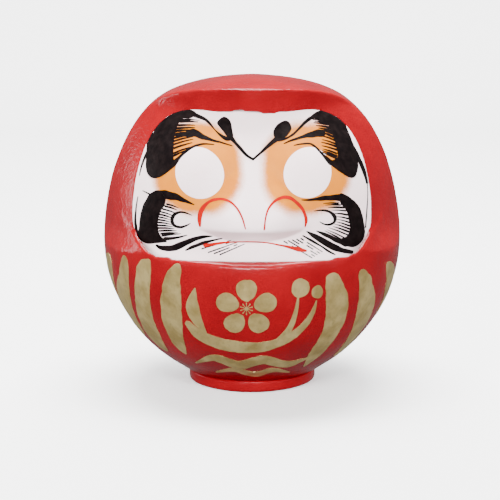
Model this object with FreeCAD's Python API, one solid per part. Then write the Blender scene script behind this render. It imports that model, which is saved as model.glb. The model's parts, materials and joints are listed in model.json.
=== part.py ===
"""Daruma doll: a hollow papier-mache figure of a hooded monk that sits on a clay foot.

Frame: +Z up, the face looks along -Y, X runs across the doll, millimetres. The origin is the middle of
the doll's footprint, at the level of the table. Depth below means distance in front of the seam, so a
depth of 60 is y = -60. The shell is a front and a back half, joined by paper strips inside. The face is
set into the front half, the nose is glued onto the face, and a clay foot with a boss that reaches into
the shell keeps the doll upright.
"""

import FreeCAD
import Part

import math
import os

from FreeCAD import Matrix, Vector

# --- Body ----------------------------------------------------------------------------------------
HEIGHT = 240.0
WALL = 2.2  # papier-mache
FAR = 400.0  # longer than anything on the doll
LEVEL = 0.01  # heights closer than this are the same

# Half of the front outline, (radius, height), from the top of the foot to the crown
OUTLINE = [
    (48.3, 9.6),
    (66.0, 20.0),
    (82.9, 34.6),
    (99.0, 55.8),
    (110.4, 82.0),
    (115.3, 114.0),
    (112.0, 148.0),
    (102.2, 181.0),
    (85.6, 210.0),
    (68.9, 224.7),
    (50.2, 232.9),
    (30.8, 237.5),
    (17.0, 239.25),
    (5.0, HEIGHT),
]
ROUNDNESS = 0.955  # depth of the body over its width
CROWN_REACH = 0.36  # how much further than that the hood reaches forward at the crown
REACH_FROM = 150.0
REACH_TO = 234.0

# --- Hood front and brow ridge --------------------------------------------------------------------
RIM_DEPTH = 8.0  # the rim of the hood runs down the sides at this depth
RIM_TOP = 219.0  # above this height the hood's front keeps the width that it has here
# (height, depth) of the hood's front on the centre line: undercut below the brow
HOOD_FRONT = [(-10, 104), (95, 100), (112, 96), (130, 90), (150, 84), (170, 76), (190, 66), (205, 58),
              (216, 54.5), (226, 57), (234, 61), (262, 75)]
# (height, power) of the hood's plan: low is a round front, high is a flat front with steep sides
HOOD_PLAN = [(0, 3.5), (150, 3.5), (196, 2.6), (217, 2.0), (260, 2.0)]
SHOULDER_TOP = 114.0  # the belly's top edge under the face, at the middle
SHOULDER_BOTTOM = 102.0
SHOULDER_SIDE_TOP = 130.0  # and beside the face, where it fades
SHOULDER_SIDE_BOTTOM = 90.0
SHOULDER_SIDE_FROM = 55.0  # x where it begins to fade
SHOULDER_SIDE_TO = 95.0
SHOULDER_OUT = 28.0  # clears the belly, so that the belly is round below the shoulder

# --- Face ----------------------------------------------------------------------------------------
# Half of the outline of the opening, (x, height), from the middle of its top to the middle of its bottom
WINDOW = [(0, 216.8), (30, 216.6), (50.0, 215.2), (65.0, 208.0), (76.5, 194.0), (84.5, 172.0),
          (88.0, 148.0), (86.0, 128.0), (78.0, 116.0), (56.0, 111.6), (25, 110.8), (0, 110.6)]
# (height, half of the width over which the face curves back)
FACE_SPREAD = [(90, 84), (115, 84), (126, 88), (148, 90), (172, 87), (194, 80), (209, 72), (216, 66),
               (230, 58)]
# (height, power) of the curve by which it does so: low is round, high is flat with quick sides
FACE_POWER = [(90, 3.2), (175, 3.2), (205, 2.4), (230, 2.2)]
FACE_SETBACK = 1.6  # how far the rim of the face lies behind the front of the hood
# (height, depth) of the face on the centre line
FACE_FRONT = [(90, 112), (104, 101), (111, 96.5), (118, 91), (126, 88), (134, 87), (144, 86.5), (155, 84),
              (170, 79), (185, 72.5), (198, 64), (208, 57), (216, 51.5), (230, 42)]
EYE_X = 39.0
EYE_HEIGHT = 174.0
EYE_SPREAD = 22.0
EYE_BULGE = 2.6
CHIN_HEIGHT = 119.0
CHIN_SPREAD_X = 17.0
CHIN_SPREAD_Z = 5.0
CHIN_BULGE = 3.0

# --- Nose ----------------------------------------------------------------------------------------
NOSE_TOP = 187.0
NOSE_BOTTOM = 136.5
NOSE_HALF_WIDTH = 40.0
BRIDGE_HALF_WIDTH = 9.0
NOSE_PROUD = 16.0
NOSE_WIDENING = 0.9  # powers by which the nose widens and comes forward on its way down
NOSE_RISE = 1.25
NOSE_SINK = 1.0  # how far its outline is sunk, so that it leaves the face at a clear angle
UNDERCUT = 34.0  # degrees below the level that its underside slopes back
NOSTRIL_X = 21.0
NOSTRIL_HEIGHT = 146.0
NOSTRIL_SPREAD = 9.5
NOSTRIL_BULGE = 3.2

# --- Nets of control points: half width, lowest, highest and spacing --------------------------------
HOOD_NET = (132.0, -12.0, 264.0, 4.0)
FACE_NET = (104.0, 96.0, 232.0, 4.0)
NOSE_NET = (52.0, 112.0, 200.0, 2.0)

# --- Foot, base paper and strips -------------------------------------------------------------------
FOOT_RADIUS = 49.6
FOOT_HEIGHT = OUTLINE[0][1]
FOOT_ROUND = 2.5
FOOT_TOP_ROUND = 1.0
BOSS_RADIUS = 44.0
BOSS_HEIGHT = 12.0
BOSS_GAP = 0.4
BOSS_ROUND = 3.0
COVER_RADIUS = 45.0
COVER_THICK = 1.0
STRIP_WIDTH = 12.0
STRIP_THICK = 0.8
STRIP_BOTTOM = FOOT_HEIGHT + 4 * WALL
STRIP_SPLIT = 205.0  # height where the side strips meet the crown strip


# --- Curves --------------------------------------------------------------------------------------
def smooth(start, end, value):
    """0 at the start, 1 at the end, with a soft beginning and end."""
    part = min(1.0, max(0.0, (value - start) / (end - start)))
    return part * part * (3 - 2 * part)


def bump(across, up):
    """A round bump, 1 at its top; both arguments are in spreads from it."""
    return math.exp(-(across * across + up * up) / 2)


def along(points, value):
    """The height of a smooth curve through (value, height) points."""
    last = len(points) - 1
    if value <= points[0][0]:
        return points[0][1]
    if value >= points[last][0]:
        return points[last][1]
    left = max(k for k in range(last) if points[k][0] <= value)
    slopes = []
    for k in (left, left + 1):
        before, after = points[max(k - 1, 0)], points[min(k + 1, last)]
        slopes.append((after[1] - before[1]) / (after[0] - before[0]))
    run = points[left + 1][0] - points[left][0]
    part = (value - points[left][0]) / run
    rest = 1 - part
    return (
        points[left][1] * (1 + 2 * part) * rest * rest
        + slopes[0] * run * part * rest * rest
        + points[left + 1][1] * part * part * (1 + 2 * rest)
        - slopes[1] * run * part * part * rest
    )


def radius_at(height):
    """Half of the doll's width at a height."""
    return along([(z, radius) for radius, z in OUTLINE], height)


def inset(distance):
    """The outline moved inwards by a distance, as (radius, height) points."""
    moved = []
    for k, (radius, height) in enumerate(OUTLINE):
        before, after = OUTLINE[max(k - 1, 0)], OUTLINE[min(k + 1, len(OUTLINE) - 1)]
        run, rise = after[0] - before[0], after[1] - before[1]
        length = math.hypot(run, rise)
        moved.append((radius - distance * rise / length, height + distance * run / length))
    return moved


# --- Surfaces of the front, as depth over x and height ---------------------------------------------
def hood_depth(x, z):
    """The slanting front of the hood, and below it the shoulder that runs out past the belly."""
    reach = abs(x) / radius_at(min(max(z, FOOT_HEIGHT), RIM_TOP))
    depth = RIM_DEPTH + (along(HOOD_FRONT, z) - RIM_DEPTH) * (1 - reach ** along(HOOD_PLAN, z))
    beside = smooth(SHOULDER_SIDE_FROM, SHOULDER_SIDE_TO, abs(x))
    top = SHOULDER_TOP + beside * (SHOULDER_SIDE_TOP - SHOULDER_TOP)
    bottom = SHOULDER_BOTTOM + beside * (SHOULDER_SIDE_BOTTOM - SHOULDER_BOTTOM)
    return depth + SHOULDER_OUT * smooth(top, bottom, z)


def face_depth(x, z):
    """The face: broad and nearly flat, bulging softly over the eyes and at the chin."""
    spread = along(FACE_SPREAD, z)
    edge = hood_depth(spread, max(z, SHOULDER_SIDE_TOP)) - FACE_SETBACK
    fall = (abs(x) / spread) ** along(FACE_POWER, z)
    eyes = EYE_BULGE * bump((abs(x) - EYE_X) / EYE_SPREAD, (z - EYE_HEIGHT) / EYE_SPREAD)
    chin = CHIN_BULGE * bump(x / CHIN_SPREAD_X, (z - CHIN_HEIGHT) / CHIN_SPREAD_Z)
    return edge + (along(FACE_FRONT, z) - edge) * (1 - fall) + eyes + chin


def nose_depth(x, z):
    """The nose over the face: a tent that widens downwards, with two nostrils and a sloping underside."""
    part = min(1.0, max(0.0, (NOSE_TOP - z) / (NOSE_TOP - NOSE_BOTTOM)))
    width = BRIDGE_HALF_WIDTH + (NOSE_HALF_WIDTH - BRIDGE_HALF_WIDTH) * part ** NOSE_WIDENING
    side = 1 - (abs(x) / width) ** 2
    proud = NOSE_PROUD * part ** NOSE_RISE * side
    across = (abs(x) - NOSTRIL_X) / NOSTRIL_SPREAD
    up = (z - NOSTRIL_HEIGHT) / NOSTRIL_SPREAD
    proud += NOSTRIL_BULGE * bump(across, up)
    proud -= max(0.0, NOSE_BOTTOM - z) / math.tan(math.radians(UNDERCUT))
    return face_depth(x, z) + proud - NOSE_SINK


def control_point(depth, x, z, distance):
    """A point on a depth function, moved back into the body along the normal."""
    across = (depth(x + 1, z) - depth(x - 1, z)) / 2
    up = (depth(x, z + 1) - depth(x, z - 1)) / 2
    normal = Vector(across, 1, up).normalize()
    return Vector(x, -depth(x, z), z) + normal * distance


def behind(depth, net, distance=0.0):
    """The solid behind a surface; the surface's control points lie on the depth function."""
    half_width, low, high, step = net
    columns = int(round(2 * half_width / step))
    rows = int(round((high - low) / step))
    poles = []
    for i in range(columns + 1):
        x = -half_width + i * step
        poles.append([control_point(depth, x, low + j * step, distance) for j in range(rows + 1)])
    surface = Part.BSplineSurface()
    u_mults = [4] + [1] * (columns - 3) + [4]
    v_mults = [4] + [1] * (rows - 3) + [4]
    u_knots = list(range(len(u_mults)))
    v_knots = list(range(len(v_mults)))
    surface.buildFromPolesMultsKnots(poles, u_mults, v_mults, u_knots, v_knots, False, False, 3, 3)
    return surface.toShape().extrude(Vector(0, FAR, 0))


# --- Solids --------------------------------------------------------------------------------------
def ring(radius, height):
    """One level section of the body: a half ellipse in front and one behind."""
    front = ROUNDNESS + CROWN_REACH * smooth(REACH_FROM, REACH_TO, height)
    left, right = Vector(-radius, 0, height), Vector(radius, 0, height)
    halves = []
    for ends, way, ratio in (((left, right), -radius, front), ((right, left), radius, ROUNDNESS)):
        arc = Part.Arc(ends[0], Vector(0, way, height), ends[1]).toShape()
        squash = Matrix()
        squash.A22 = ratio
        halves.append(arc.transformGeometry(squash))
    return Part.Wire(halves)


def egg(distance):
    """The whole body, moved inwards by a distance."""
    return Part.makeLoft([ring(radius, height) for radius, height in inset(distance)], True, False)


def hood_front(distance=0.0):
    """Everything behind the slanting front of the hood."""
    return behind(hood_depth, HOOD_NET, distance)


def window_block():
    """The opening for the face, as a block that runs from the front to just before the seam."""
    right = [Vector(x, -FAR / 2, z) for x, z in WINDOW]
    left = [Vector(-x, -FAR / 2, z) for x, z in reversed(WINDOW[1:-1])]
    curve = Part.BSplineCurve()
    curve.interpolate(right + left, PeriodicFlag=True)
    return Part.Face(Part.Wire(curve.toShape())).extrude(Vector(0, FAR / 2 - RIM_DEPTH, 0))


def half_space(front):
    """A block on one side of the seam."""
    return Part.makeBox(FAR, FAR, FAR, Vector(-FAR / 2, -FAR if front else 0, -FAR / 4))


def hollow():
    """The space inside the shell, with the mouth that takes the boss of the foot."""
    mouth = Part.makeCylinder(BOSS_RADIUS + BOSS_GAP, 2 * WALL, Vector(0, 0, FOOT_HEIGHT - WALL))
    return egg(WALL).common(hood_front(WALL)).fuse(mouth)


def shells():
    """The front and the back half of the shell, without the face."""
    whole = egg(0).common(hood_front()).cut(window_block()).cut(hollow())
    return whole.common(half_space(True)), whole.common(half_space(False))


def face_behind(distance=0.0):
    """Everything behind the face."""
    return behind(face_depth, FACE_NET, distance)


def face_panel():
    """The face, which fills the opening of the front shell."""
    return window_block().common(face_behind()).cut(face_behind(WALL))


def nose():
    """The nose, glued onto the face."""
    block = behind(nose_depth, NOSE_NET)
    front = Part.makeBox(FAR, FAR, FAR, Vector(-FAR / 2, -FAR - RIM_DEPTH, 0))
    return block.common(front).cut(face_behind())


def level_edges(shape, height):
    """The edges of a shape that lie level at a height."""
    boxes = [(edge, edge.BoundBox) for edge in shape.Edges]
    return [edge for edge, box in boxes if abs(box.ZMin - height) + box.ZLength < LEVEL]


def clay_foot():
    """The clay foot: a disc to stand on and a boss that fits the mouth of the shell."""
    foot = Part.makeCylinder(FOOT_RADIUS, FOOT_HEIGHT)
    for radius, height in ((FOOT_ROUND, 0), (FOOT_TOP_ROUND, FOOT_HEIGHT)):
        foot = foot.makeFillet(radius, level_edges(foot, height))
    boss = Part.makeCone(BOSS_RADIUS, BOSS_RADIUS - BOSS_ROUND, BOSS_HEIGHT, Vector(0, 0, FOOT_HEIGHT))
    recess = Part.makeCylinder(COVER_RADIUS, COVER_THICK)
    return foot.fuse(boss).cut(recess)


def base_paper():
    """The round paper pasted under the foot."""
    return Part.makeCylinder(COVER_RADIUS, COVER_THICK)


def seam_strips():
    """The paper strips inside the seam: left, right and over the crown."""
    band = Part.makeBox(FAR, STRIP_WIDTH, HEIGHT, Vector(-FAR / 2, -STRIP_WIDTH / 2, STRIP_BOTTOM))
    lining = egg(WALL).cut(egg(WALL + STRIP_THICK)).common(band)
    above = Part.makeBox(FAR, FAR, FAR, Vector(-FAR / 2, -FAR / 2, STRIP_SPLIT))
    left_side = Part.makeBox(FAR, FAR, FAR, Vector(-FAR, -FAR / 2, 0))
    sides = lining.cut(above)
    return sides.common(left_side), sides.cut(left_side), lining.common(above)


def main():
    """Build every piece and write it to its own file."""
    os.makedirs("parts", exist_ok=True)
    front, back = shells()
    left_strip, right_strip, crown_strip = seam_strips()
    pieces = {
        "front_shell": front,
        "back_shell": back,
        "face_panel": face_panel(),
        "nose": nose(),
        "clay_foot": clay_foot(),
        "base_paper": base_paper(),
        "seam_strip_left": left_strip,
        "seam_strip_right": right_strip,
        "seam_strip_crown": crown_strip,
    }
    for name, shape in pieces.items():
        box = shape.BoundBox
        print(
            f"{name}: solids {len(shape.Solids)} faces {len(shape.Faces)} valid {shape.isValid()} "
            f"volume {shape.Volume:.0f} x {box.XMin:.1f}..{box.XMax:.1f} "
            f"y {box.YMin:.1f}..{box.YMax:.1f} z {box.ZMin:.1f}..{box.ZMax:.1f}"
        )
        shape.exportStep(f"parts/{name}.step")


main()
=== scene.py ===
"""Daruma doll: the lacquered papier-mache skin, its painted face and its gold strokes.

The skins are made from copies of the CAD solids: remeshed evenly, softened, and given the unevenness of
pasted paper. Each brush stroke is a thin film of its own that lies on a skin. Strokes are drawn in
millimetres, either from the front, as (x, height), or around the belly, as (degrees, height).
"""

import json
import math

import bmesh
import bpy
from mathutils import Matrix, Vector, geometry, noise
from mathutils.bvhtree import BVHTree

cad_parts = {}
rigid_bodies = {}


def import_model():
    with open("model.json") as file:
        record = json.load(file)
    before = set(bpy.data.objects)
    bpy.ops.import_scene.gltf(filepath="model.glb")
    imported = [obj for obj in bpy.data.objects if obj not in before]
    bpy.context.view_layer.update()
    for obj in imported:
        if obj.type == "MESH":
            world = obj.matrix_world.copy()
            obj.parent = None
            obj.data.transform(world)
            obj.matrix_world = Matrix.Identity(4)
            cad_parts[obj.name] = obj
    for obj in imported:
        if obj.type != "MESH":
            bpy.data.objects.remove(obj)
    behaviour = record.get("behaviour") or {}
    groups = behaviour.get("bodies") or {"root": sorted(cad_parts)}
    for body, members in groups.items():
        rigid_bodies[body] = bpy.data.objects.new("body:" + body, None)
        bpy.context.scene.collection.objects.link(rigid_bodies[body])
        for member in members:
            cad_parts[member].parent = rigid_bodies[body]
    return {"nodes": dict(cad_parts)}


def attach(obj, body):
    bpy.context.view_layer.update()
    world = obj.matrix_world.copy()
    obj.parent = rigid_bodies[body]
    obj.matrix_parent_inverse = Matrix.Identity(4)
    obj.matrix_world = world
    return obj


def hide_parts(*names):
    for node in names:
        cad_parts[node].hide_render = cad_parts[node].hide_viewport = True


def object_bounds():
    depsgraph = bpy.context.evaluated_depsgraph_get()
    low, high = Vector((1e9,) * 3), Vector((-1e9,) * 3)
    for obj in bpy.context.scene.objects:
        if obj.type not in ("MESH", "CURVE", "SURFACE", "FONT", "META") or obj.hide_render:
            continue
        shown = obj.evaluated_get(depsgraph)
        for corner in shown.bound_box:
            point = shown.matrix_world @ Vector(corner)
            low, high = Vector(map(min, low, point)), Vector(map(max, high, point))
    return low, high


for leftover in list(bpy.data.objects):
    bpy.data.objects.remove(leftover)
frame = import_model()
CAD_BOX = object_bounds()

MM = 0.001
SEED_SHIFT = Vector((31.7, 12.9, 7.3))

# Skins
SHELL_VOXEL = 1.45 * MM
FACE_VOXEL = 0.85 * MM
FOOT_VOXEL = 1.1 * MM
FOOT_TOP = 9.6
PRESSED = 1.3  # how far the lowest edge of the shell is sunk into the foot
PRESSED_OVER = 6.0
WINDOW_NEAREST = 38.0  # the window's edge lies further forward than this
LIP_HEIGHT = 110.6
LIP_CORNER = 5.4  # how much higher the edge is at the lower corners of the window
LIP_HALF_WIDTH = 78.0
LIP_RAISE = 2.8
BROW_HEIGHT = 217.0
BROW_HALF_WIDTH = 62.0
BROW_DROP = 1.3
BROW_CORNER = 5.0  # how much more the edge is lowered towards the upper corners of the window
EDGE_SPREAD = 5.0
FACE_GROWTH = 1.018  # the face reaches a little under the edge of the hood
FACE_GROWTH_DOWN = 1.05
CHIN_OUT = 2.2  # how far the face's lower edge is brought forward, towards the lip
WINDOW_MIDDLE = 163.0
WINDOW_HALF_WIDTH = 88.0
WINDOW_HALF_HEIGHT = 53.5
EDGE_ROUNDS = 8

SHELL_ROUNDS = 6
FACE_ROUNDS = 4
FOOT_ROUNDS = 3
SHELL_RELIEF = 0.55
FACE_RELIEF = 0.45
FOOT_RELIEF = 0.5
RELIEF_LAYERS = ((42, 0.9), (17, 0.35), (7, 0.12))  # (size of the bumps, share of the relief)
WELD = 0.01  # points closer than this become one
EDGE_ZONE = (0.7, 1.35)  # from inside the window's outline, which is at 1, to outside it
WINDOW_POWER = 3
LIP_CORNER_POWER = 6
BROW_FADE_POWER = 8
SHELL_SHARP = 60.0  # degrees between faces, from which an edge stays sharp

# Films of paint
PAINT_THICK = 0.16
PATCH_LAYERS = 1.8  # the black areas are this many times as thick as a line
RED_LAYERS = 1.6  # and the red lines this many times
GOLD_THICK = 0.22
PAINT_SUNK = 0.5
PAINT_SHARP = 50.0
LAYER_STEP = 0.06  # films of one piece differ in thickness, so that none shares a surface with another
LAYERS = 5
PATCH_STEP = 1.6  # spacing of the points inside a film
ROW_STEP = 0.87  # spacing of the rows of points, over that of the points
EDGE_CLEAR = 0.55  # the same for the points nearest to the edge
FILM_MERGE = 1e-4
FAR_OFF = 300.0
SLIDE = 0.996  # step by which a point beyond the edge of a skin slides back
BELLY_SCALE = 1.8  # millimetres to a degree, for an even spacing of points around the belly

# Brush work
CURVE_STEPS = 9
GOLD_STEPS = 8
SHORT_STEPS = 3
COMB_STEPS = 12
CAP_STEPS = 6
OVAL_POINTS = 72
THINNEST = 0.12
WOBBLE_RATE = 0.17
WOBBLE_SEED = 4.2
LINE_SHAKE = 0.3
AREA_SHAKE = 0.4
GOLD_LINE_SHAKE = 0.12
GOLD_AREA_SHAKE = 0.8
HAIR = 0.72
HAIR_MIDDLE = 0.85  # width at the middle over the width at the root
HAIR_TIP = 0.3
HAIR_ARCH = 0.3
HAIR_LENGTH_VARIES = 0.16
HAIR_WIDTH_VARIES = 0.35
DASHES = 7
DASH_SHARE = 0.8  # how much of its place a dash fills
DASH_TAPER = 0.45
WHISKER = 0.5
DRY_MOST = 0.42
DRY_LEAST = 0.25

# Orange spray around the eyes
SPRAY_X = 40.5
SPRAY_HEIGHT = 177.0
SPRAY_HALF_WIDTH = 33.5
SPRAY_HALF_HEIGHT = 32.0
SPRAY_POWER = 2.3
SPRAY_DRIFT = 0.35
SPRAY_SPECK = 0.22
SPRAY_EDGE = (0.72, 1.3)  # from full to none, over the half sizes

# Colours, linear
RED_DEEP = (0.185, 0.0012, 0.0042)
RED_BRIGHT = (0.235, 0.0018, 0.0052)
WHITE_LOW = (0.91, 0.72, 0.735)
WHITE_HIGH = (0.94, 0.775, 0.785)
ORANGE_DEEP = (0.52, 0.145, 0.001)
ORANGE_LIGHT = (0.58, 0.18, 0.003)
GOLD_DEEP = (0.48, 0.345, 0.12)
GOLD_LIGHT = (0.76, 0.59, 0.25)
GOLD_SHADOW = (0.20, 0.135, 0.045)
INK_THIN = (0.008, 0.005, 0.005)
INK_FULL = (0.003, 0.0018, 0.002)
LINE_THIN = (0.40, 0.004, 0.002)
LINE_FULL = (0.32, 0.002, 0.001)
PAPER_DARK = (0.52, 0.43, 0.31)
PAPER_LIGHT = (0.64, 0.56, 0.44)
PAPER_FIBRE = (0.4, 0.32, 0.22)
STUDIO_LOW = (0.86, 0.86, 0.86)
STUDIO_HIGH = (0.88, 0.88, 0.88)
CLOUD_RANGE = (0.35, 0.65)  # noise levels between which a colour changes
GLOSS_RANGE = (0.3, 0.7)  # and between which a roughness or the studio's white does

# Studio, in metres
FLOOR_GLOW = 0.7
ROOM_LIGHT = 0.28
FLOOR_FRONT = -3.0
FLOOR_BACK = 1.6
FLOOR_SIDE = 4.0
FLOOR_BEND = 0.8
BEND_STEPS = 16
WALL_TOP = 4.0
DOLL_MIDDLE = (0, 0, 0.13)
WALL_FOOT = (0, 1.7, 0)
# Name, place, (width, height), watts, aim, and whether it is seen in reflections
LIGHTS = [
    ("light_over", (0, 0.22, 1.20), (0.9, 0.5), 64, DOLL_MIDDLE, True),
    ("light_front", (0, -1.5, 1.05), (0.6, 0.25), 34, DOLL_MIDDLE, True),
    ("light_rim", (-1.15, 0.35, 0.38), (0.12, 0.45), 2.5, DOLL_MIDDLE, True),
    ("light_left", (-1.25, -1.0, 0.45), (0.35, 0.7), 42, DOLL_MIDDLE, False),
    ("light_right", (1.30, -1.05, 0.42), (0.35, 0.7), 33, DOLL_MIDDLE, False),
    ("light_low", (0, -1.4, 0.22), (0.8, 0.25), 8, DOLL_MIDDLE, False),
    ("light_back", (0, 1.5, 1.5), (3.0, 0.8), 150, WALL_FOOT, False),
]

# Camera
HEIGHT = CAD_BOX[1].z - CAD_BOX[0].z
CAMERA_AWAY = 1.322
CAMERA_ELEVATION = 10.1
CAMERA_LENS = 121.7
CAMERA_SENSOR = 36
CAMERA_SHIFT = (-0.004, -0.0444)
CAMERA_CLIP = (0.05, 30)


# --- Curves in millimetres -----------------------------------------------------------------------
def between(p, q, r, s, t):
    """A value from q to r as t goes from 0 to 1, on a smooth curve whose neighbours are p and s."""
    square = 2 * p - 5 * q + 4 * r - s
    cube = 3 * q - p - 3 * r + s
    return 0.5 * (2 * q + (r - p) * t + square * t * t + cube * t ** 3)


def spline(points, steps, closed=False):
    """Points of a smooth curve through the given ones; extra values, such as widths, are smoothed too."""
    count = len(points)
    spans = count if closed else count - 1
    curve = []
    for span in range(spans):
        ids = [span - 1, span, span + 1, span + 2]
        if closed:
            ids = [k % count for k in ids]
        else:
            ids = [min(max(k, 0), count - 1) for k in ids]
        a, b, c, d = (points[k] for k in ids)
        for step in range(steps):
            t = step / steps
            curve.append(tuple(between(*values, t) for values in zip(a, b, c, d)))
    if not closed:
        curve.append(tuple(points[-1]))
    return curve


def wobble(x, z, size):
    """A small unevenness of a hand-drawn edge."""
    return size * noise.noise(Vector((x * WOBBLE_RATE, z * WOBBLE_RATE, WOBBLE_SEED)))


def brush(points, steps=CURVE_STEPS, shake=LINE_SHAKE):
    """The outline of one brush stroke from its centre line of (x, z, half width)."""
    line = spline(points, steps)
    right, left = [], []
    for k, (x, z, half) in enumerate(line):
        before, after = line[max(k - 1, 0)], line[min(k + 1, len(line) - 1)]
        run, rise = after[0] - before[0], after[1] - before[1]
        length = math.hypot(run, rise) or 1.0
        half = max(half, THINNEST)
        rim = half + wobble(x + 9, z, shake * half)
        right.append((x + rise / length * rim, z - run / length * rim))
        rim = half + wobble(x, z + 9, shake * half)
        left.append((x - rise / length * rim, z + run / length * rim))
    return right + cap(line[-2], line[-1]) + left[::-1] + cap(line[1], line[0])


def cap(before, end):
    """The round end of a stroke, from its right to its left edge."""
    half = max(end[2], THINNEST)
    heading = math.atan2(end[1] - before[1], end[0] - before[0])
    turns = [heading - math.pi / 2 + math.pi * k / CAP_STEPS for k in range(1, CAP_STEPS)]
    return [(end[0] + half * math.cos(a), end[1] + half * math.sin(a)) for a in turns]


def patch(points, shake=AREA_SHAKE):
    """The outline of a painted area through the given points."""
    return [(x + wobble(x, z, shake), z + wobble(z, x, shake)) for x, z in spline(points, CURVE_STEPS, True)]


def oval(x, z, half_width, half_height, tilt=0.0, full=0.0):
    """The outline of an oval, turned by a tilt in degrees, and fuller to its lower side by a share."""
    turned = math.radians(tilt)
    outline = []
    for k in range(OVAL_POINTS):
        angle = math.tau * k / OVAL_POINTS
        reach = 1 - full * math.sin(angle) * abs(math.sin(angle))
        across, up = reach * half_width * math.cos(angle), reach * half_height * math.sin(angle)
        outline.append((
            x + across * math.cos(turned) - up * math.sin(turned),
            z + across * math.sin(turned) + up * math.cos(turned),
        ))
    return outline


def comb(roots, tips, count, half):
    """Fine hairs that run from points along one line to points along another."""
    starts, ends = spline(roots, COMB_STEPS), spline(tips, COMB_STEPS)
    hairs = []
    for k in range(count):
        part = k / (count - 1)
        x0, z0 = starts[round(part * (len(starts) - 1))]
        x1, z1 = ends[round(part * (len(ends) - 1))]
        reach = 1 + HAIR_LENGTH_VARIES * noise.noise(Vector((k * 1.7, x0, 3.1)))
        x1, z1 = x0 + (x1 - x0) * reach, z0 + (z1 - z0) * reach
        thick = half * (1 + HAIR_WIDTH_VARIES * noise.noise(Vector((k * 2.3, z0, 8.8))))
        middle = ((x0 + x1) / 2, (z0 + z1) / 2 + HAIR_ARCH)
        hairs.append(brush([(x0, z0, thick), (*middle, thick * HAIR_MIDDLE), (x1, z1, thick * HAIR_TIP)]))
    return hairs


def dashes(start, end, half, dry):
    """A fine dry stroke that breaks up into dashes; dry is how much of it is missing."""
    pieces = []
    for k in range(DASHES):
        if noise.noise(Vector((start[0] * 0.9, k * 3.3, 2.2))) < dry - 0.5:
            continue
        a = k / DASHES
        b = (k + DASH_SHARE) / DASHES
        points = []
        for part in (a, (a + b) / 2, b):
            x = start[0] + (end[0] - start[0]) * part
            z = start[1] + (end[1] - start[1]) * part
            points.append((x, z, half * (1 - DASH_TAPER * part)))
        pieces.append(brush(points, SHORT_STEPS))
    return pieces


# --- Meshes --------------------------------------------------------------------------------------
def add_object(name, mesh):
    """A new piece with smooth faces."""
    mesh.polygons.foreach_set("use_smooth", [True] * len(mesh.polygons))
    piece = bpy.data.objects.new(name, mesh)
    bpy.context.scene.collection.objects.link(piece)
    return piece


def relief(point, size):
    """How far pasted paper stands off its mould at a point, in millimetres."""
    p = point / MM + SEED_SHIFT
    return size * sum(noise.noise(p / bumps) * share for bumps, share in RELIEF_LAYERS)


def remeshed(name, nodes, voxel, rounds):
    """Copies of CAD nodes as one even mesh, softened."""
    joined = bmesh.new()
    for node in nodes:
        joined.from_mesh(frame["nodes"][node].data)
    bmesh.ops.remove_doubles(joined, verts=joined.verts, dist=WELD * MM)
    rough = bpy.data.meshes.new(name + "_rough")
    joined.to_mesh(rough)
    joined.free()
    source = add_object(name + "_source", rough)
    even = source.modifiers.new("even", "REMESH")
    even.mode = "VOXEL"
    even.voxel_size = voxel
    soften = source.modifiers.new("soften", "SMOOTH")
    soften.factor = 0.5
    soften.iterations = rounds
    depsgraph = bpy.context.evaluated_depsgraph_get()
    mesh = bpy.data.meshes.new_from_object(source.evaluated_get(depsgraph))
    mesh.name = name
    bpy.data.objects.remove(source)
    return mesh


def uneven(mesh, size):
    """Moves a mesh's points along their normals by the paper's relief."""
    moves = [vertex.normal * relief(vertex.co, size) * MM for vertex in mesh.vertices]
    for vertex, move in zip(mesh.vertices, moves):
        vertex.co += move
    mesh.update()


def half_of(mesh, name, front):
    """The part of a mesh on one side of the seam, closed along the cut."""
    cut = bmesh.new()
    cut.from_mesh(mesh)
    whole = cut.verts[:] + cut.edges[:] + cut.faces[:]
    side = Vector((0, 1 if front else -1, 0))
    made = bmesh.ops.bisect_plane(cut, geom=whole, plane_co=(0, 0, 0), plane_no=side, clear_outer=True)
    rim = [part for part in made["geom_cut"] if isinstance(part, bmesh.types.BMEdge)]
    bmesh.ops.triangle_fill(cut, edges=rim, use_beauty=True)
    bmesh.ops.recalc_face_normals(cut, faces=cut.faces)
    half = bpy.data.meshes.new(name)
    cut.to_mesh(half)
    cut.free()
    return half


def tree_of(mesh):
    """A mesh as a tree that rays can be cast at."""
    return BVHTree.FromPolygons([v.co for v in mesh.vertices], [p.vertices[:] for p in mesh.polygons])


def front_of(tree):
    """Places a point given as (x, z) on a skin from the front; one beyond its edge slides back onto it."""
    def place(x, z):
        hit = tree.ray_cast(Vector((x, -FAR_OFF, z)) * MM, Vector((0, 1, 0)))
        while hit[0] is None:
            x *= SLIDE
            z = WINDOW_MIDDLE + (z - WINDOW_MIDDLE) * SLIDE
            hit = tree.ray_cast(Vector((x, -FAR_OFF, z)) * MM, Vector((0, 1, 0)))
        return hit[0], hit[1]
    return place


def around(tree):
    """Places a point given as (degrees from the front, z) on a skin, from outside towards the axis."""
    def place(u, z):
        angle = math.radians(u / BELLY_SCALE)
        out = Vector((math.sin(angle), -math.cos(angle), 0))
        hit = tree.ray_cast(Vector((0, 0, z)) * MM + out * FAR_OFF * MM, -out)
        return hit[0], hit[1]
    return place


def inside(point, outline):
    """True if a point is inside a closed outline."""
    x, z = point
    odd = False
    for (x0, z0), (x1, z1) in zip(outline, outline[1:] + outline[:1]):
        if (z0 > z) != (z1 > z) and x < x0 + (x1 - x0) * (z - z0) / (z1 - z0):
            odd = not odd
    return odd


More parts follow.
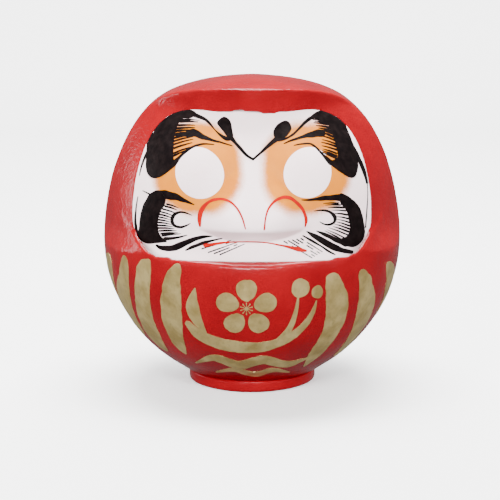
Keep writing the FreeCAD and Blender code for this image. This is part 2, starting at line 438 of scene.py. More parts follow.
def inner_points(outline, step):
    """Evenly spaced points inside an outline, a little away from its edge."""
    xs, zs = [p[0] for p in outline], [p[1] for p in outline]
    points = []
    row = 0
    z = min(zs) + step / 2
    while z < max(zs):
        x = min(xs) + step / 2 * (row % 2)
        while x < max(xs):
            near = min((x - a) ** 2 + (z - b) ** 2 for a, b in outline)
            if near > (EDGE_CLEAR * step) ** 2 and inside((x, z), outline):
                points.append((x, z))
            x += step
        z += step * ROW_STEP
        row += 1
    return points


def add_film(made, outline, place, thick):
    """Adds one film of paint, a thin closed solid, to a bmesh."""
    flat = outline + inner_points(outline, PATCH_STEP)
    loop = list(range(len(outline)))
    points, _, faces, *_ = geometry.delaunay_2d_cdt([Vector(p) for p in flat], [], [loop], 1, FILM_MERGE)
    top, bottom = [], []
    for x, z in points:
        spot, normal = place(x, z)
        top.append(made.verts.new(spot + normal * thick * MM))
        bottom.append(made.verts.new(spot - normal * PAINT_SUNK * MM))
    sides = {}
    for face in faces:
        made.faces.new([top[k] for k in face])
        made.faces.new([bottom[k] for k in reversed(face)])
        for a, b in zip(face, [*face[1:], face[0]]):
            sides[(a, b)] = (b, a) not in sides
            if not sides[(a, b)]:
                sides[(b, a)] = False
    for (a, b), edge in sides.items():
        if edge:
            made.faces.new([top[b], top[a], bottom[a], bottom[b]])


def painted(name, outlines, place, material, thick=PAINT_THICK):
    """One piece that holds some films of the same paint."""
    made = bmesh.new()
    for k, outline in enumerate(outlines):
        add_film(made, outline, place, thick * (1 + LAYER_STEP * (k % LAYERS)))
    bmesh.ops.recalc_face_normals(made, faces=made.faces)
    mesh = bpy.data.meshes.new(name)
    made.to_mesh(mesh)
    made.free()
    piece = add_object(name, mesh)
    mesh.set_sharp_from_angle(angle=math.radians(PAINT_SHARP))
    mesh.materials.append(material)
    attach(piece, "root")
    return piece


# --- Materials -----------------------------------------------------------------------------------
class Look:
    """A procedural material on object coordinates, so that it keeps its size on every piece."""

    def __init__(self, name):
        self.material = bpy.data.materials.new(name)
        self.material.use_nodes = True
        self.nodes = self.material.node_tree.nodes
        self.links = self.material.node_tree.links
        self.shader = self.nodes["Principled BSDF"]
        self.place = self.nodes.new("ShaderNodeTexCoord").outputs["Object"]

    def noise(self, size, detail=3.0, rough=0.55, stretch=(1, 1, 1)):
        """Noise whose features have about this size in millimetres."""
        source = self.place
        if stretch != (1, 1, 1):
            mapping = self.nodes.new("ShaderNodeMapping")
            mapping.inputs["Scale"].default_value = stretch
            self.links.new(source, mapping.inputs["Vector"])
            source = mapping.outputs["Vector"]
        made = self.nodes.new("ShaderNodeTexNoise")
        made.inputs["Scale"].default_value = 1 / (size * MM)
        made.inputs["Detail"].default_value = detail
        made.inputs["Roughness"].default_value = rough
        self.links.new(source, made.inputs["Vector"])
        return made.outputs["Fac"]

    def cloud(self, size):
        """A share from 0 to 1 that drifts over patches of about this size in millimetres."""
        return self.ramp(self.noise(size), *CLOUD_RANGE)

    def gloss(self, size, low, high):
        """A roughness that drifts between two values."""
        return self.ramp(self.noise(size), *GLOSS_RANGE, low, high)

    def ramp(self, value, low, high, start=0.0, end=1.0, soft=False):
        """A value from start to end as the input goes from low to high."""
        made = self.nodes.new("ShaderNodeMapRange")
        made.interpolation_type = "SMOOTHSTEP" if soft else "LINEAR"
        made.inputs["From Min"].default_value = low
        made.inputs["From Max"].default_value = high
        made.inputs["To Min"].default_value = start
        made.inputs["To Max"].default_value = end
        self.links.new(value, made.inputs["Value"])
        return made.outputs["Result"]

    def math(self, operation, first, second=None):
        """A sum, product or other operation on sockets or numbers."""
        made = self.nodes.new("ShaderNodeMath")
        made.operation = operation
        for socket, value in zip(made.inputs, (first, second)):
            if isinstance(value, (int, float)):
                socket.default_value = value
            elif value is not None:
                self.links.new(value, socket)
        return made.outputs[0]

    def mix(self, share, first, second):
        """A colour between two, each a socket or (r, g, b)."""
        made = self.nodes.new("ShaderNodeMix")
        made.data_type = "RGBA"
        self.links.new(share, made.inputs["Factor"])
        for socket, colour in ((made.inputs[6], first), (made.inputs[7], second)):
            if isinstance(colour, tuple):
                socket.default_value = (*colour, 1)
            else:
                self.links.new(colour, socket)
        return made.outputs[2]

    def bump(self, layers):
        """Fine relief from (height, depth in millimetres) layers."""
        normal = None
        for height, depth in layers:
            made = self.nodes.new("ShaderNodeBump")
            made.inputs["Strength"].default_value = 1.0
            made.inputs["Distance"].default_value = depth * MM
            self.links.new(height, made.inputs["Height"])
            if normal:
                self.links.new(normal, made.inputs["Normal"])
            normal = made.outputs["Normal"]
        self.links.new(normal, self.shader.inputs["Normal"])

    def use(self, **sockets):
        """Sets the shader's inputs by name; each is a socket or a constant."""
        for name, value in sockets.items():
            socket = self.shader.inputs[name.replace("_", " ")]
            if isinstance(value, bpy.types.NodeSocket):
                self.links.new(value, socket)
            elif isinstance(value, tuple):
                socket.default_value = (*value, 1)
            else:
                socket.default_value = value
        return self.material


def lacquer(name, deep, bright):
    """Glossy lacquer over wrinkled paper."""
    look = Look(name)
    grain = look.noise(3.2, 2.0)
    fine = look.noise(1.1, 2.0)
    shade = look.mix(look.cloud(34), deep, bright)
    look.bump([(grain, 0.42), (fine, 0.10)])
    return look.use(
        Base_Color=shade,
        Roughness=look.gloss(11, 0.15, 0.27),
        Specular_IOR_Level=0.24,
    )


def face_paint():
    """Chalky white ground with orange sprayed softly around the eyes."""
    look = Look("white_ground_with_orange")
    split = look.nodes.new("ShaderNodeSeparateXYZ")
    look.links.new(look.place, split.inputs[0])
    across = look.math("SUBTRACT", look.math("ABSOLUTE", split.outputs["X"]), SPRAY_X * MM)
    across = look.math("DIVIDE", across, SPRAY_HALF_WIDTH * MM)
    up = look.math("SUBTRACT", split.outputs["Z"], SPRAY_HEIGHT * MM)
    up = look.math("DIVIDE", up, SPRAY_HALF_HEIGHT * MM)
    across = look.math("POWER", look.math("ABSOLUTE", across), SPRAY_POWER)
    up = look.math("POWER", look.math("ABSOLUTE", up), SPRAY_POWER)
    away = look.math("ADD", across, up)
    drift = look.math("MULTIPLY", look.math("SUBTRACT", look.noise(16), 0.5), SPRAY_DRIFT)
    away = look.math("ADD", away, drift)
    speck = look.math("MULTIPLY", look.math("SUBTRACT", look.noise(0.8, 1.0), 0.5), SPRAY_SPECK)
    spray = look.ramp(look.math("ADD", away, speck), *SPRAY_EDGE, 1.0, 0.0, True)
    white = look.mix(look.cloud(40), WHITE_LOW, WHITE_HIGH)
    orange = look.mix(look.cloud(22), ORANGE_DEEP, ORANGE_LIGHT)
    look.bump([(look.noise(3.6, 2.0), 0.22), (look.noise(0.9, 2.0), 0.05)])
    return look.use(
        Base_Color=look.mix(spray, white, orange),
        Roughness=look.gloss(9, 0.42, 0.56),
        Specular_IOR_Level=0.2,
    )


def eye_paint():
    """Plain white of the unpainted eyes."""
    look = Look("eye_white")
    white = look.mix(look.cloud(25), WHITE_LOW, WHITE_HIGH)
    look.bump([(look.noise(3.6, 2.0), 0.2), (look.noise(0.9, 2.0), 0.05)])
    return look.use(Base_Color=white, Roughness=look.gloss(9, 0.4, 0.52))


def ink(name, thin, full, rough):
    """Brushed paint that is a little thinner in places."""
    look = Look(name)
    load = look.ramp(look.noise(5, 4.0), 0.3, 0.6)
    look.bump([(look.noise(2.6, 2.0), 0.2)])
    return look.use(
        Base_Color=look.mix(load, thin, full),
        Roughness=look.gloss(8, rough, rough + 0.14),
        Specular_IOR_Level=0.05,
    )


def gold_paint():
    """Metallic paint with the streaks of a broad brush."""
    look = Look("gold_paint")
    streaks = look.noise(2.2, 3.0, 0.6, (1, 1, 0.22))
    shade = look.mix(look.cloud(14), GOLD_DEEP, GOLD_LIGHT)
    shade = look.mix(look.ramp(streaks, 0.55, 0.8, 0.0, 0.35), shade, GOLD_SHADOW)
    look.bump([(look.noise(3.2, 2.0), 0.45), (streaks, 0.10)])
    return look.use(
        Base_Color=shade,
        Metallic=0.74,
        Roughness=look.gloss(7, 0.30, 0.46),
    )


def plain_paper():
    """Brown pasted paper."""
    look = Look("pasted_paper")
    shade = look.mix(look.cloud(18), PAPER_DARK, PAPER_LIGHT)
    fibres = look.noise(1.4, 4.0, 0.6, (1, 0.25, 1))
    shade = look.mix(look.ramp(fibres, 0.55, 0.75, 0.0, 0.4), shade, PAPER_FIBRE)
    look.bump([(fibres, 0.08)])
    return look.use(Base_Color=shade, Roughness=0.85)


def studio_white():
    """The pale floor and backdrop."""
    look = Look("studio_white")
    shade = look.mix(look.ramp(look.noise(300), *GLOSS_RANGE), STUDIO_LOW, STUDIO_HIGH)
    return look.use(Base_Color=shade, Roughness=0.7, Emission_Color=(1, 1, 1), Emission_Strength=FLOOR_GLOW)


# --- Skins ---------------------------------------------------------------------------------------
def edge_shift(x, y, z):
    """How far the shell's skin is moved up: its foot end is pressed down, its window is tightened."""
    pressed = PRESSED * max(0.0, 1 - (z - FOOT_TOP) / PRESSED_OVER)
    if y > -WINDOW_NEAREST:
        return -pressed
    lip = LIP_HEIGHT + LIP_CORNER * (abs(x) / LIP_HALF_WIDTH) ** LIP_CORNER_POWER
    raised = LIP_RAISE * math.exp(-((z - lip) / EDGE_SPREAD) ** 2)
    fade = math.exp(-(x / BROW_HALF_WIDTH) ** BROW_FADE_POWER)
    drop = (BROW_DROP + BROW_CORNER * (x / BROW_HALF_WIDTH) ** 2) * fade
    lowered = drop * math.exp(-((z - BROW_HEIGHT) / EDGE_SPREAD) ** 2)
    return raised - lowered - pressed


def soften_window(mesh):
    """Evens out the edge of the window in the shell's skin."""
    even = bmesh.new()
    even.from_mesh(mesh)
    edge = []
    for vertex in even.verts:
        x, y, z = vertex.co / MM
        across = abs(x / WINDOW_HALF_WIDTH) ** WINDOW_POWER
        up = abs((z - WINDOW_MIDDLE) / WINDOW_HALF_HEIGHT) ** WINDOW_POWER
        if y < -WINDOW_NEAREST and EDGE_ZONE[0] < across + up < EDGE_ZONE[1]:
            edge.append(vertex)
    for _ in range(EDGE_ROUNDS):
        bmesh.ops.smooth_vert(even, verts=edge, factor=0.5, use_axis_x=True, use_axis_y=True, use_axis_z=True)
    even.to_mesh(mesh)
    even.free()


def shell_pieces(red):
    """The lacquered front and back halves of the shell; returns the mesh of the front half."""
    whole = remeshed("shell", ["front_shell", "back_shell"], SHELL_VOXEL, SHELL_ROUNDS)
    uneven(whole, SHELL_RELIEF)
    for vertex in whole.vertices:
        vertex.co.z += edge_shift(*(vertex.co / MM)) * MM
    whole.update()
    soften_window(whole)
    meshes = {}
    for name, node, front in (("shell_front", "front_shell", True), ("shell_back", "back_shell", False)):
        half = half_of(whole, name, front)
        piece = add_object(name, half)
        half.set_sharp_from_angle(angle=math.radians(SHELL_SHARP))
        half.materials.append(red)
        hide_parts(node)
        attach(piece, "root")
        meshes[name] = half
    return meshes["shell_front"]


def face_piece(paint):
    """The face and the nose under one ground coat."""
    mesh = remeshed("face", ["face_panel", "nose"], FACE_VOXEL, FACE_ROUNDS)
    middle = Vector((0, 0, WINDOW_MIDDLE * MM))
    for vertex in mesh.vertices:
        away = vertex.co - middle
        up = FACE_GROWTH if away.z > 0 else FACE_GROWTH_DOWN
        forward = CHIN_OUT * MM * math.exp(-((vertex.co.z / MM - LIP_HEIGHT) / EDGE_SPREAD) ** 2)
        vertex.co = middle + Vector((away.x * FACE_GROWTH, away.y - forward, away.z * up))
    mesh.update()
    uneven(mesh, FACE_RELIEF)
    piece = add_object("face", mesh)
    mesh.materials.append(paint)
    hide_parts("face_panel", "nose")
    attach(piece, "root")
    return mesh


def foot_piece(red):
    """The clay foot under the same lacquer."""
    mesh = remeshed("foot", ["clay_foot"], FOOT_VOXEL, FOOT_ROUNDS)
    uneven(mesh, FOOT_RELIEF)
    low = CAD_BOX[0].z
    for vertex in mesh.vertices:
        vertex.co.z = max(vertex.co.z, low)
    mesh.update()
    piece = add_object("foot", mesh)
    mesh.materials.append(red)
    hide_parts("clay_foot")
    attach(piece, "root")


# --- Strokes of the face, from the front as (x, z) or (x, z, half width) -----------------------------
# The eyes, as the values that oval takes
EYES = {
    "eye_left": (-38, 174.6, 18.3, 17.5, -42, 0.05),
    "eye_right": (40.4, 174.8, 17.8, 17.5, 40, 0.05),
}

# The black areas, the lines beside them, and the roots and tips of their hairs
BROW_LEFT = [
    (-42, 214.8), (-49.5, 217.6), (-58.5, 217), (-67, 212.5), (-74, 206), (-78.4, 197.5),
    (-79.4, 188.6), (-79.5, 179.5), (-79, 172.5), (-76.3, 168.8), (-72, 168), (-67, 170),
    (-60.5, 174.8), (-55, 179.8), (-57.6, 181.6), (-58.2, 187.5), (-58.2, 193.5), (-57.2, 199.5),
    (-55.3, 205.5), (-52.5, 209.8), (-46, 211),
]
BROW_LEFT_LINES = [
    [
        (-43, 213.6, 1.6), (-35.5, 211.2, 1.2), (-31, 207.8, 0.8), (-27.5, 204, 0.4),
        (-23.5, 200.6, 0.9), (-19.5, 198.4, 1.3), (-15, 198.2, 1.2),
    ],
    [
        (-57.5, 199, 0.9), (-50, 200, 1.6), (-44, 201, 2.6), (-38, 199.6, 2.1), (-31, 197.4, 1.0),
        (-23.5, 195.7, 0.6), (-14.7, 193.4, 0.3),
    ],
    [
        (-28, 194, 0.3), (-35.5, 194.2, 0.55), (-41.5, 192.7, 0.8), (-46.5, 190.2, 0.9),
        (-52.5, 185.2, 1.1), (-58, 179.6, 2.0),
    ],
    [(-16.2, 200, 1.9), (-12.5, 195.6, 1.3), (-8.4, 191.2, 1.15), (-3.8, 186.9, 1.05), (0.9, 184, 0.8)],
    [(-76.8, 190, 0.5), (-80.2, 182, 0.8), (-83, 174.5, 0.6), (-84.4, 168, 0.3)],
]
BROW_LEFT_COMB = (
    [(-53, 209.6), (-57, 202), (-58.3, 194), (-57.8, 185)],
    [(-39, 210), (-44, 203.6), (-43, 198.4), (-44.5, 190.6)],
)
TEAR_LEFT = [
    (-21.5, 212.9), (-25.8, 209.3), (-24.6, 206.4), (-21, 202.4), (-17.2, 198.6), (-13.8, 199.6),
    (-14.4, 204), (-15.4, 208.8), (-17.8, 212),
]
BROW_RIGHT = [
    (40.5, 209.8), (45, 213.4), (51, 215.6), (59.5, 215), (67, 209.8), (72, 201), (75.8, 191.6),
    (78.3, 183.5), (79.3, 175.5), (77.8, 169.7), (74, 168), (69, 170.6), (62, 175.6), (56, 180.8),
    (63, 183), (62.7, 190.3), (61, 197), (58.2, 204), (54.6, 209.4), (47, 210.6),
]
BROW_RIGHT_LINES = [
    [
        (43, 210.8, 1.5), (39.5, 208.6, 1.2), (36.4, 206, 0.9), (33.3, 203.2, 0.8), (29.6, 200.3, 0.8),
        (25, 198.1, 0.7), (19.5, 197.2, 1.0),
    ],
    [
        (52.5, 200.3, 2.3), (47.6, 200.7, 2.4), (41.5, 199.8, 1.5), (35.5, 198.5, 0.9),
        (28, 196.4, 0.6), (23.6, 194.8, 0.3),
    ],
    [
        (31, 193.4, 0.3), (37, 194.3, 0.5), (43, 194, 0.6), (47.5, 191, 0.7), (52, 186.4, 0.9),
        (58, 180.2, 1.8),
    ],
    [(18.6, 198.6, 1.9), (14.6, 195.4, 1.6), (10, 191.8, 1.2), (6, 188.3, 0.95), (0.6, 183.9, 0.7)],
    [(66, 205, 0.8), (73.7, 192.6, 0.9), (80, 181, 1.3), (84.2, 170.5, 1.5), (86.4, 162.5, 0.8)],
]
BROW_RIGHT_COMB = (
    [(55.5, 209), (59, 203), (61.6, 196), (63, 189), (62.6, 182.8)],
    [(45.5, 210), (48, 205.6), (51.5, 200), (51.5, 192.8), (52, 187.6)],
)
TEAR_RIGHT = [
    (24.2, 210.2), (28, 208.7), (29.2, 205), (27.5, 201.8), (24.4, 198.7), (19.2, 197.4), (16, 199.9),
    (16, 204), (19, 208),
]
BEARD_LEFT = [
    (-69.5, 160), (-75.8, 156.6), (-79.8, 150), (-82.2, 143.5), (-83.8, 136), (-84.4, 130),
    (-85.6, 126), (-84, 123), (-80.5, 120.8), (-75.5, 120.4), (-68, 122.3), (-62.5, 123.6), (-67, 127),
    (-69.3, 132), (-69, 138.7), (-67, 145.5), (-64, 151.6), (-64, 156),
]
BEARD_LEFT_LINES = [
    [(-69, 157.2, 3.0), (-62, 157.4, 3.1), (-56, 156.6, 2.4), (-50, 154.8, 1.4), (-42.4, 152, 0.4)],
    [(-85.3, 153, 0.3), (-86.8, 143, 0.6), (-87, 134.5, 1.0), (-85.8, 128, 1.3), (-83.4, 124.4, 0.9)],
    [(-64, 125.4, 1.5), (-56, 127, 1.0), (-47.6, 129.4, 0.3)],
    [(-74, 156, 0.9), (-81.4, 158, 0.3)],
    [
        (-43.8, 144.2, 0.25), (-48.3, 145.6, 0.7), (-52.7, 146, 0.9), (-56.9, 143.9, 1.1),
        (-58.7, 140.1, 1.3), (-57.3, 136.3, 1.1), (-52.8, 135, 0.9), (-48.3, 136.3, 0.7),
        (-45.2, 138.2, 0.25),
    ],
]
BEARD_LEFT_COMB = (
    [(-62.5, 151), (-67, 145), (-69, 139), (-69, 133), (-66, 127.6)],
    [(-53, 148.8), (-57.6, 143), (-59, 138), (-56.2, 133.6), (-53.5, 130)],
)
BEARD_RIGHT = [
    (65, 158.2), (71.2, 155.6), (76.8, 150.6), (80.7, 144.3), (83, 136.6), (84, 130), (84, 126.8),
    (82, 121.8), (78, 118.8), (73, 118.4), (67, 120.8), (61.5, 124.4), (69.5, 126.8), (72.3, 132.4),
    (71.2, 140), (68.9, 146.7), (65, 152),
]
BEARD_RIGHT_LINES = [
    [(66, 155.4, 2.7), (57.3, 156, 2.0), (50, 155.8, 1.4), (42.5, 155.3, 0.8), (36.3, 155.5, 0.3)],
    [(86.4, 163, 0.3), (86.6, 154, 0.3), (85.6, 142, 0.5), (84.6, 131, 0.5)],
    [(47.4, 132.5, 0.4), (54, 129.3, 1.3), (61, 125.4, 1.6), (69, 120.8, 1.8)],
    [
        (45.3, 147.2, 0.25), (51.3, 147.4, 0.75), (57.2, 145.7, 1.0), (60.9, 141.7, 1.3),
        (60.2, 138.1, 1.1), (56.5, 136.6, 0.9), (52.8, 137.3, 0.6), (49.6, 139.2, 0.25),
    ],
]
BEARD_RIGHT_COMB = (
    [(63.5, 151.6), (68, 147), (71, 140), (72.4, 133.5), (71, 128.6), (67, 124)],
    [(52, 152.2), (57, 148.4), (61.5, 142.6), (61.5, 138), (58, 134.4), (54, 132)],
)
WHISKERS_LEFT = [
    [
        (-70.4, 120, 0.9), (-66, 118.7, 1.7), (-59, 119.3, 2.3), (-51.3, 122.3, 2.1), (-44, 125.9, 1.7),
        (-36.5, 128.5, 1.2), (-29.2, 129.2, 0.4),
    ],
    [(-48.5, 118.6, 0.5), (-43, 121.2, 1.2), (-34.3, 124.6, 1.1), (-21.8, 127.9, 0.35)],
]
WHISKERS_RIGHT = [
    [
        (40.2, 132.4, 0.5), (46, 128.7, 1.7), (53.5, 123.8, 2.2), (61, 119.4, 2.1), (68.5, 116.2, 1.7),
        (73.8, 114.8, 1.3),
    ],
    [(37.3, 129.4, 0.5), (44, 125.3, 0.9), (51.3, 120.8, 0.6), (56, 117.4, 0.8), (61, 114.6, 0.4)],
]
# Fine whiskers: first start and end, last start and end, how many
FINE_LEFT = ((-40.2, 119), (-14.6, 126.9), (-23.3, 116.5), (-5.1, 124.1), 5)
FINE_RIGHT = ((35.8, 127.4), (52, 116.9), (23.4, 125.6), (44.5, 113.2), 5)

# Red lines of the nostrils and the mouth
NOSTRIL_LEFT = [
    (-38, 136.6, 0.7), (-38.3, 142.5, 1.6), (-36.3, 149, 1.5), (-32, 153.8, 1.1), (-26.2, 156.4, 0.95),
    (-20.2, 156.8, 0.8), (-14.5, 154.6, 0.7), (-10, 150, 0.65), (-6.6, 143.5, 0.6), (-4.7, 137.2, 0.4),
]
NOSTRIL_RIGHT = [
    (8.8, 136.8, 0.6), (9.7, 144, 0.6), (12, 151, 0.75), (16.7, 156, 0.9), (22.5, 157.9, 1.05),
    (28.4, 156.8, 1.05), (33.6, 152.8, 1.15), (37.6, 147.5, 1.05), (39.6, 141, 1.2), (38.8, 136, 0.4),
]
MOUTH = [
    (-34.6, 122.4, 1.1), (-27, 123.8, 1.0), (-16, 125.2, 0.55), (-3.6, 125.8, 0.45), (7.3, 125.4, 0.5),
    (17.5, 123.6, 0.6), (27.7, 121.3, 0.95), (34, 119.8, 1.5), (39.4, 118.6, 0.8),
]

# --- Gold stripes around the belly, as (degrees from the front, z) -----------------------------------
STRIPES = {
    "gold_stripe_left_1": [
        (-34, 103), (-31.5, 109), (-29, 111), (-27.5, 107.5), (-28.3, 97), (-29, 83), (-30.4, 70),
        (-32, 59), (-34.3, 46.5), (-37.4, 35), (-40.4, 37), (-42.2, 44), (-42, 55), (-41, 67),
        (-38.8, 81), (-37, 91),
    ],
    "gold_stripe_left_2": [
        (-48.6, 105), (-45.6, 110.5), (-41.6, 110.5), (-42.3, 95), (-44.8, 79), (-47, 64), (-48.7, 49),
        (-52, 34.5), (-56, 33), (-60, 36.5), (-62, 45), (-59.6, 58), (-56.4, 71), (-53.4, 83),
        (-50.2, 97),
    ],
    "gold_stripe_left_3": [
        (-61.5, 100.5), (-57.5, 110), (-54.6, 106), (-56, 91), (-59, 74.5), (-62, 61), (-64, 50),
        (-68, 42), (-75, 46), (-77, 57), (-75, 71), (-69, 84), (-64, 93),
    ],
    "gold_stripe_left_4": [
        (-77, 105), (-72, 106), (-70, 100), (-71.5, 89), (-75, 76), (-81, 62), (-88, 58), (-90, 70),
        (-86, 84), (-81, 96),
    ],
    "gold_stripe_right_1": [
        (29.2, 98), (30.4, 102), (33.2, 103.2), (36.1, 98), (39.4, 88.5), (41.9, 78), (43.3, 65),
        (43, 53), (42, 42), (40.5, 32), (36, 22.5), (32.8, 29), (31.6, 38), (32.6, 52.5), (32, 68),
        (30.3, 83),
    ],
    "gold_stripe_right_2": [
        (45, 99), (47.2, 102.6), (51.2, 97.8), (55.5, 87), (60, 76), (63.4, 64), (64.6, 53), (64.5, 42),
        (65, 31), (58, 27), (54.4, 38), (51.6, 55), (48.8, 71), (46.8, 86.5),
    ],
    "gold_stripe_right_3": [
        (63.2, 100.6), (66.5, 102), (72, 98), (77.5, 90), (81, 79), (83, 66), (82, 55), (74, 57),
        (71.5, 69), (68.4, 79.5), (66, 89.5),
    ],
}

# --- Gold plum blossom on a branch, from the front --------------------------------------------------
BLOSSOM = (-4, 79)
PETALS = 5
PETAL_AWAY = 14.2
PETAL_HALF_WIDTH = 8.9
PETAL_HALF_LENGTH = 8.4
PETAL_NARROW = 0.84
PETAL_FLARE = 0.16
PETAL_SHAKE = 0.5
STAMENS = 10
STAMEN_REACH = 4.4
HEART = 1.3
BRANCH = [
    [
        (-47, 64, 2.4), (-37, 54, 4.4), (-18, 47.5, 5.2), (4, 46, 4.6), (22, 51, 3.8), (36, 61, 2.8),
        (44, 73, 1.8), (47, 83, 0.5),
    ],
    [(19, 50, 2.6), (28, 63, 2.2), (32, 76, 1.5), (33.5, 86, 0.8)],
    [(-34, 57, 1.0), (-40.5, 68, 4.0), (-43.5, 80, 4.6), (-41.5, 93, 0.7)],
]
BUDS = [(35, 94, 6.6, 7.4), (47.5, 90, 4.2, 5.2)]
WAVES = [
    [(-42, 27, 0.8), (-28, 34.5, 3.4), (-10, 28.5, 4.2), (8, 34, 4.2), (26, 28, 3.6), (41, 32, 0.8)],
    [(-27, 18.5, 0.7), (-13, 23, 2.4), (2, 18, 2.9), (16, 22.5, 2.4), (28, 18, 0.7)],
]


def petal(turn):
    """One petal of the blossom, broad at its outer end."""
    outline = []
    for x, z in oval(0, 0, PETAL_HALF_LENGTH, PETAL_HALF_WIDTH):
        narrow = PETAL_NARROW + PETAL_FLARE * x / PETAL_HALF_LENGTH
        out, side = PETAL_AWAY + x, z * narrow
        out += PETAL_SHAKE * noise.noise(Vector((x * 0.3, z * 0.3, turn)))
        outline.append((
            BLOSSOM[0] + out * math.cos(turn) - side * math.sin(turn),
            BLOSSOM[1] + out * math.sin(turn) + side * math.cos(turn),
        ))
    return outline


def stamen(turn):
    """A short line with a round tip, from the middle of the blossom."""
    points = [(BLOSSOM[0] + r * math.cos(turn), BLOSSOM[1] + r * math.sin(turn), half)
              for r, half in ((1.4, 0.25), (STAMEN_REACH * 0.7, 0.25), (STAMEN_REACH, 0.55))]
    return brush(points, SHORT_STEPS)


def gold_pieces(gold, front, side):
    """The stripes, the blossom with its branch, and the waves below it."""
    for name, outline in STRIPES.items():
        stretched = [(degrees * BELLY_SCALE, z) for degrees, z in outline]
        painted(name, [patch(stretched, GOLD_AREA_SHAKE)], side, gold, GOLD_THICK)
    turns = [math.radians(90 + 360 * k / PETALS) for k in range(PETALS)]
    spokes = [math.tau * (k + 0.5) / STAMENS for k in range(STAMENS)]
    motifs = {
        "gold_blossom": [petal(turn) for turn in turns],
        "gold_stamens": [oval(*BLOSSOM, HEART, HEART)] + [stamen(turn) for turn in spokes],
        "gold_branch": [brush(line, GOLD_STEPS, GOLD_LINE_SHAKE) for line in BRANCH],
        "gold_buds": [patch(oval(*bud)[::6], GOLD_AREA_SHAKE) for bud in BUDS],
        "gold_waves": [brush(line, GOLD_STEPS, GOLD_LINE_SHAKE) for line in WAVES],
    }
    for name, outlines in motifs.items():
        painted(name, outlines, front, gold, GOLD_THICK)


def fine_whiskers(first_start, first_end, last_start, last_end, count):
    """Fine parallel whiskers, some of them broken up by a dry brush."""
    pieces = []
    for k in range(count):
        part = k / (count - 1)
        start = tuple(a + (b - a) * part for a, b in zip(first_start, last_start))
        end = tuple(a + (b - a) * part for a, b in zip(first_end, last_end))
        pieces += dashes(start, end, WHISKER, DRY_MOST if k % 2 else DRY_LEAST)
    return pieces


def face_strokes(front, black, red, white):
    """Everything that is painted on the face over the ground coat."""
    for name, spot in EYES.items():
        painted(name, [oval(*spot)], front, white)
    groups = {
        "brow_left": (BROW_LEFT, BROW_LEFT_LINES, BROW_LEFT_COMB, 12),
        "brow_right": (BROW_RIGHT, BROW_RIGHT_LINES, BROW_RIGHT_COMB, 14),
        "beard_left": (BEARD_LEFT, BEARD_LEFT_LINES, BEARD_LEFT_COMB, 13),
        "beard_right": (BEARD_RIGHT, BEARD_RIGHT_LINES, BEARD_RIGHT_COMB, 13),
    }
    for name, (area, lines, (roots, tips), hairs) in groups.items():
        painted(name + "_patch", [patch(area)], front, black, PAINT_THICK * PATCH_LAYERS)
        painted(name + "_lines", [brush(line) for line in lines], front, black)
        painted(name + "_hairs", comb(roots, tips, hairs, HAIR), front, black)
    painted("brow_drop_left", [patch(TEAR_LEFT)], front, black)
    painted("brow_drop_right", [patch(TEAR_RIGHT)], front, black)
    for side, broad, fine in (("left", WHISKERS_LEFT, FINE_LEFT), ("right", WHISKERS_RIGHT, FINE_RIGHT)):
        outlines = [brush(line) for line in broad] + fine_whiskers(*fine)
        painted("whiskers_" + side, outlines, front, black)
    for name, line in (("nostril_left", NOSTRIL_LEFT), ("nostril_right", NOSTRIL_RIGHT), ("mouth", MOUTH)):
        painted("red_line_" + name, [brush(line)], front, red, PAINT_THICK * RED_LAYERS)


# --- Studio --------------------------------------------------------------------------------------
def backdrop():
    """A pale floor that bends up into a wall."""
    low = CAD_BOX[0].z
    profile = [(FLOOR_FRONT, low), (FLOOR_BACK, low)]
    for k in range(1, BEND_STEPS + 1):
        angle = math.pi / 2 * k / BEND_STEPS
        profile.append((FLOOR_BACK + FLOOR_BEND * math.sin(angle), low + FLOOR_BEND * (1 - math.cos(angle))))
    profile.append((FLOOR_BACK + FLOOR_BEND, low + WALL_TOP))
    made = bmesh.new()
    rows = [[made.verts.new((x, y, z)) for y, z in profile] for x in (-FLOOR_SIDE, FLOOR_SIDE)]
    for k in range(len(profile) - 1):
        made.faces.new([rows[0][k], rows[1][k], rows[1][k + 1], rows[0][k + 1]])
    mesh = bpy.data.meshes.new("backdrop")
    made.to_mesh(mesh)
    made.free()
    floor = add_object("backdrop", mesh)
    mesh.materials.append(studio_white())
    floor.visible_glossy = False
    floor.visible_diffuse = False


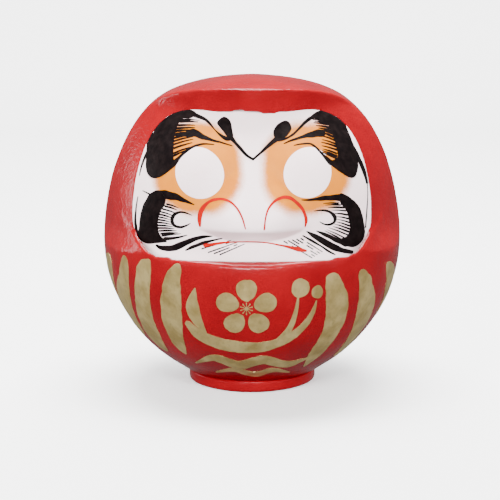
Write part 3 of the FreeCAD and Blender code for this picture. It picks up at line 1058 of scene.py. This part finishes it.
def area_light(name, spot, size, power, aim, reflected):
    """A soft light that points at a place."""
    light = bpy.data.lights.new(name, "AREA")
    light.shape = "RECTANGLE"
    light.size, light.size_y = size
    light.energy = power
    lamp = bpy.data.objects.new(name, light)
    lamp.location = spot
    lamp.rotation_euler = (Vector(aim) - Vector(spot)).to_track_quat("-Z", "Y").to_euler()
    lamp.visible_glossy = reflected
    bpy.context.scene.collection.objects.link(lamp)


def studio():
    """Floor, lights and a bright room."""
    backdrop()
    for light in LIGHTS:
        area_light(*light)
    world = bpy.data.worlds.new("room")
    world.use_nodes = True
    room = world.node_tree.nodes["Background"]
    room.inputs["Color"].default_value = (1, 1, 1, 1)
    room.inputs["Strength"].default_value = ROOM_LIGHT
    bpy.context.scene.world = world


def camera():
    """The camera in front of the doll, a little above it."""
    aim = Vector((0, 0, 0.5 * HEIGHT))
    tilt = math.radians(CAMERA_ELEVATION)
    lens = bpy.data.cameras.new("camera")
    lens.sensor_width = CAMERA_SENSOR
    lens.lens = CAMERA_LENS
    lens.shift_x, lens.shift_y = CAMERA_SHIFT
    lens.clip_start, lens.clip_end = CAMERA_CLIP
    eye = bpy.data.objects.new("camera", lens)
    eye.location = aim + Vector((0, -math.cos(tilt), math.sin(tilt))) * CAMERA_AWAY
    eye.rotation_euler = (aim - eye.location).to_track_quat("-Z", "Y").to_euler()
    bpy.context.scene.collection.objects.link(eye)
    bpy.context.scene.camera = eye


def main():
    """Build every piece, then the studio."""
    red = lacquer("red_lacquer", RED_DEEP, RED_BRIGHT)
    shell = shell_pieces(red)
    face = face_piece(face_paint())
    foot_piece(red)
    paper = plain_paper()
    for node in ("base_paper", "seam_strip_left", "seam_strip_right", "seam_strip_crown"):
        frame["nodes"][node].data.materials.clear()
        frame["nodes"][node].data.materials.append(paper)
    black = ink("black_ink", INK_THIN, INK_FULL, 0.32)
    line_red = ink("line_red", LINE_THIN, LINE_FULL, 0.40)
    face_strokes(front_of(tree_of(face)), black, line_red, eye_paint())
    belly = tree_of(shell)
    gold_pieces(gold_paint(), front_of(belly), around(belly))
    studio()
    camera()


main()
